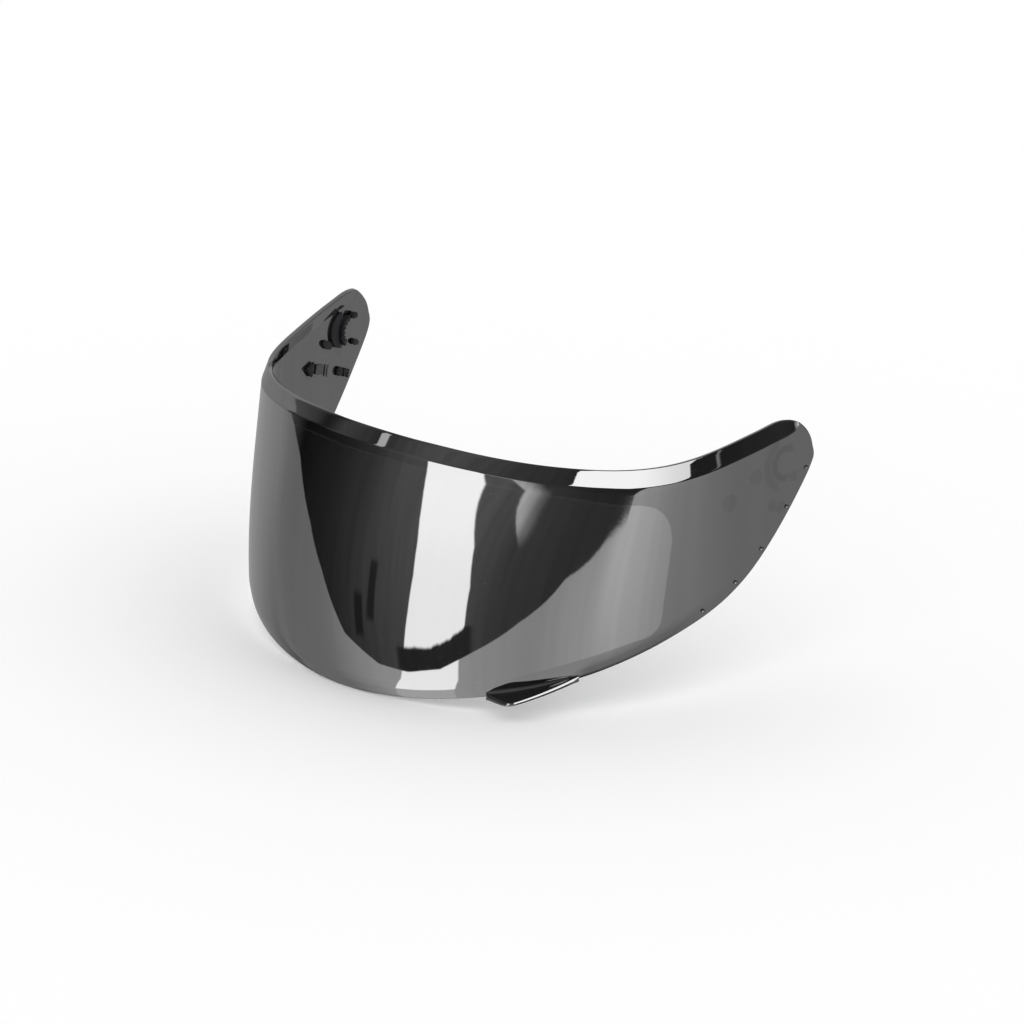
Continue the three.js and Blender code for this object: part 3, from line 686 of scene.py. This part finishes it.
# The studio: a white floor under soft white light from all round. What the polished sheet mirrors is
# the room round the camera, which isn't white: a grey table, dark walls, a tall strip light and a
# wide light.
# Bearings are degrees round from the front towards the wearer's left, and rises degrees up.
world = bpy.data.worlds.new("studio")
bpy.context.scene.world = world
room = Shader(world)
east, north, height = room.split(room.node("TexCoord", output="Generated"))
DEGREES = 180 / math.pi
bearing = room.math("ARCTAN2", east, -north) * DEGREES
rise = height.math("ARCSINE") * DEGREES

# The room's lines and lights, each at a bearing: how high the table ends, and how bright the table,
# the walls over it and what the lip mirrors are.
TABLE_EDGE = [
    (-180, -6), (-100, 30), (-87, 30), (-84, 0), (-75, 0), (-60, -5), (-50, -11), (-38, -22),
    (-22, -27.5), (-8, -28.5), (7, -26.5), (22, -21), (40, -15), (55, -12), (68, -14), (76, -16),
    (78, -15.5), (120, -18.5), (140, -18), (150, -6), (180, -6),
]
TABLE_LIGHT = [
    (-180, 0.4), (-100, 0.45), (-75, 0.33), (-50, 0.4), (-20, 0.85), (15, 0.85), (45, 0.7),
    (80, 1), (95, 0.8), (120, 0.5), (180, 0.4),
]
ROOM_LIGHT = [
    (-180, 0.35), (-100, 0.45), (-75, 0.01), (-50, 0.04), (-35, 0.08), (-15, 0.18), (15, 0.22),
    (30, 0.12), (60, 0.08), (100, 0.1), (180, 0.3),
]
STRIP_LIGHT, WIDE_LIGHT, SPOT_LIGHT, SEAM_LIGHT = 2.6, 4.4, 1.6, 0.7
WEDGE_LIGHT, GLOW_LIGHT = 0.95, 1.9
LIP_LIGHT = [
    (-180, 0.5), (-98, 0.7), (-78, 0.03), (-68, 0.2), (-48, 0.1), (-15, 0.3), (15, 0.15),
    (40, 0.1), (110, 0.05), (180, 0.3),
]
BAND_LINE = [
    (-80, 3), (-58, 10), (-38, 15.5), (-12, 20.5), (22, 20.5), (29, 5.5), (55, -8), (77, -15.5),
    (100, -19),
]
LIP_LINE = [(-90, 12), (-60, 20), (-20, 24.5), (24, 24.5), (40, 20), (60, 6), (72, -8.5), (104, -9)]
STRIP_LEFT = [(-22, -8.5), (-12, -6), (-3, -4.5), (5, -4.5), (14, -6), (26, -9)]
STRIP_RIGHT = [(-22, 15.5), (-14, 18), (-5, 18.3), (4, 16), (14, 10), (18, 7.5), (26, 4)]
STRIP_FOOT = [(-9, -22), (3, -21), (12, -18), (18.5, -14.5)]
edge = bearing.curve(TABLE_EDGE)
on_table = (edge - rise).above(0, 0.3)
strip = (bearing - rise.curve(STRIP_LEFT)).above(0, 0.6)
strip = strip * (rise.curve(STRIP_RIGHT) - bearing).above(0, 0.6) * (1 - rise.above(25, 1))
folds = room.node("CombineXYZ", sockets={0: bearing * 0.35, 1: rise * 0.03})
streaks = room.node("TexNoise", sockets={"Vector": folds, "Scale": 1, "Detail": 3})
foot = rise - bearing.curve(STRIP_FOOT)
strip = strip * (foot + streaks * 1.4 - 0.7).above(0, 1.2)
on_lip = (rise - bearing.curve(LIP_LINE)).above(0, 1)
in_band = (rise - bearing.curve(BAND_LINE)).above(0, 0.8) * (1 - on_lip)
bars = (bearing - rise * 0.12).between(-23.7, -20.2, 0.6) * rise.between(-17, -2.8, 2)
bars = bars + bearing.between(-31.8, -27.8, 0.8) * rise.between(-21.5, -11.5, 2)
beside = bearing + rise * 1.1 - 31
wedge = beside.above(0, 0.4) * (1 - beside.above(2.5, 5)) * rise.above(1.5, 6)
under = (-foot).above(0, 1.4) * bearing.between(-12, 21, 3)
walls = bearing.curve(ROOM_LIGHT) * (1 - bars * 0.65) * (1 - in_band * 0.15) * (1 - under * 0.7)
walls = walls * (rise * 0.008 + 1) + wedge * WEDGE_LIGHT * (1 - on_lip)
dark = walls * (1 - on_lip) + bearing.curve(LIP_LIGHT) * on_lip
leaning = bearing - rise * 0.3
wide = leaning.between(34.5, 99.7, 0.6) * on_lip * (1 - rise.above(34, 1))
spot = (bearing + rise * 0.4).between(-30.4, -24.8, 1) * rise.between(35.5, 46.5, 1)
seam = bearing.between(109.3, 109.9, 0.4) * rise.between(-6, 16, 1)
lamps = dark * (streaks * 0.7 + 0.65) + strip * (rise.above(5, 20) * 0.25 + STRIP_LIGHT)
lamps = lamps + wide * (WIDE_LIGHT - bearing.above(90, 30) * 1.2)
lamps = lamps + spot * SPOT_LIGHT + seam * SEAM_LIGHT
glow = (bearing - rise * 0.59).above(5.84, 1) * (1 - (bearing - rise * 0.18).above(19.75, 1))
glow = glow * (1 - (edge - rise).above(16.5, 3) * 0.86)
slope = (rise + 14) * 0.022 * (1 - bearing.above(-84, 8))
slope = slope + (rise + 24) * 0.04 * bearing.between(72, 114, 10)
table = bearing.curve(TABLE_LIGHT) * (slope + 1) * (streaks * 0.16 + 0.92) + glow * GLOW_LIGHT
mirrored = lamps * (1 - on_table) + table * on_table
glossy = room.node("LightPath", output="Is Glossy Ray")
strength = mirrored * glossy + (1 - glossy)
light = room.node("Background", sockets={"Color": (1, 1, 1, 1), "Strength": strength})
room.node("OutputWorld", sockets={"Surface": light})
world.cycles.sampling_method = "NONE"

floor_mesh = bpy.data.meshes.new("floor")
floor_form = bmesh.new()
bmesh.ops.create_grid(floor_form, x_segments=1, y_segments=1, size=30)
floor_form.to_mesh(floor_mesh)
floor_form.free()
floor = bpy.data.objects.new("floor", floor_mesh)
floor_paint = bpy.data.materials.new("white_sweep")
paint = Shader(floor_paint)
white = paint.node("BsdfDiffuse", sockets={"Color": (1, 1, 1, 1)})
paint.node("OutputMaterial", sockets={"Surface": white})
floor_mesh.materials.append(floor_paint)
floor.visible_glossy = False
bpy.context.scene.collection.objects.link(floor)
